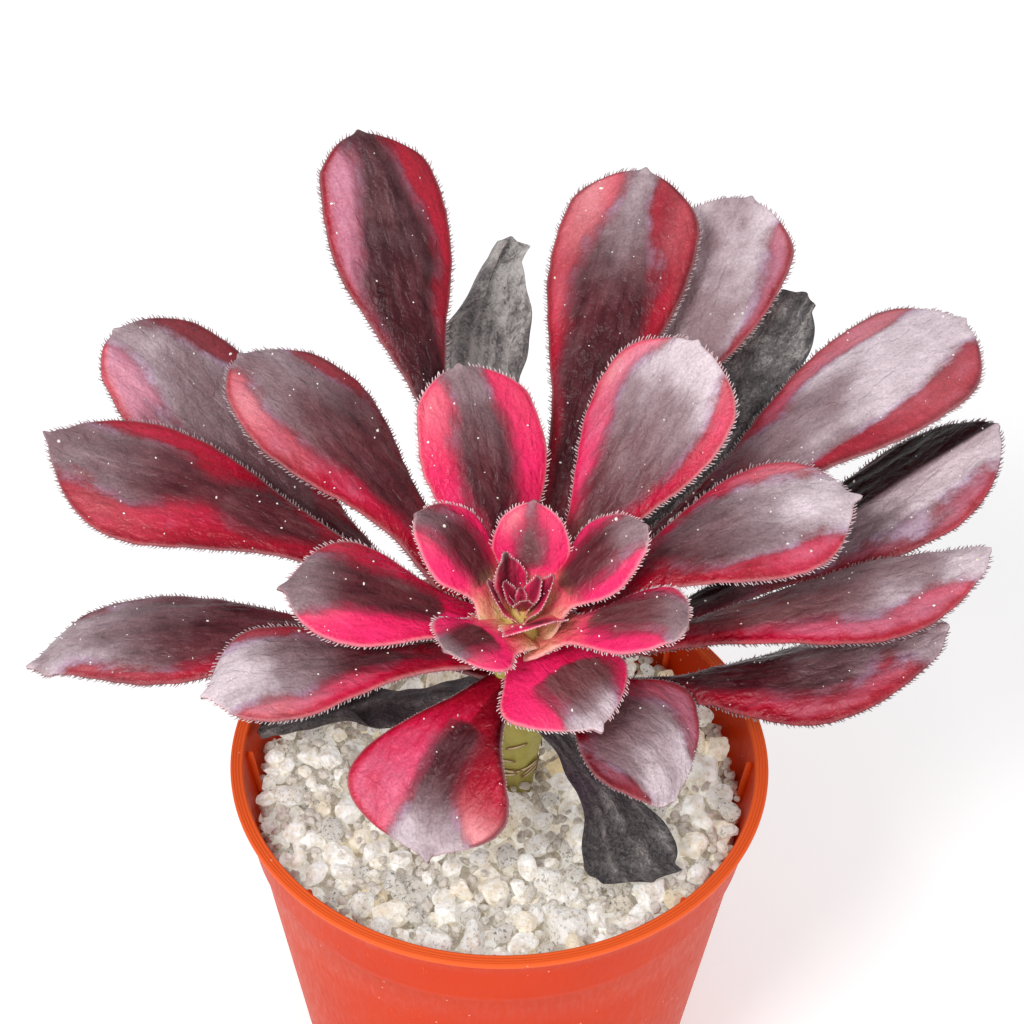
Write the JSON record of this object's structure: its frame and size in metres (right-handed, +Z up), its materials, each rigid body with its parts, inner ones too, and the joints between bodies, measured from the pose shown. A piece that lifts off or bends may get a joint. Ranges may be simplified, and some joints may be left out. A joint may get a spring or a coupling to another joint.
{
  "type": "potted aeonium",
  "caption": "Rosette succulent with long red-edged dark leaves on a short stem, in a round plastic nursery pot topped with pumice grit.",
  "frame": {"origin": "centre of the pot's flat base, on the surface it stands on", "axes": "+Z up along the pot's axis, -Y towards the front of the plant, +X to the right as seen from the front"},
  "size_m": [0.158, 0.1155, 0.1627],
  "materials": {
    "pot_plastic": "satin",
    "mix": "matte",
    "grit": "matte",
    "stem_skin": "satin",
    "leaf": "satin",
    "dried_leaf": "matte"
  },
  "bodies": {
    "root": {"dry_leaf_back": "dried_leaf", "dry_leaf_front": "dried_leaf", "dry_leaf_left": "dried_leaf", "dry_leaf_right": "dried_leaf", "grit_topping": "grit", "heart_leaf_back": "leaf", "heart_leaf_bud": "leaf", "heart_leaf_front": "leaf", "heart_leaf_left": "leaf", "heart_leaf_right": "leaf", "leaf_back_far": "leaf", "leaf_back_left": "leaf", "leaf_back_right": "leaf", "leaf_far_left": "leaf", "leaf_front": "leaf", "leaf_front_heart": "leaf", "leaf_front_right": "leaf", "leaf_front_short": "leaf", "leaf_inner_back": "leaf", "leaf_inner_left": "leaf", "leaf_inner_right": "leaf", "leaf_left": "leaf", "leaf_low_left": "leaf", "leaf_lower_left": "leaf", "leaf_mid_left": "leaf", "leaf_right_behind": "leaf", "leaf_right_low": "leaf", "leaf_right_lowest": "leaf", "leaf_right_mid": "leaf", "leaf_right_short": "leaf", "leaf_right_upper": "leaf", "leaf_upper_left": "leaf", "leaf_upper_middle": "leaf", "leaf_upper_right": "leaf", "pot": "pot_plastic", "potting_mix": "mix", "stem": "stem_skin"}
  },
  "joints": []
}
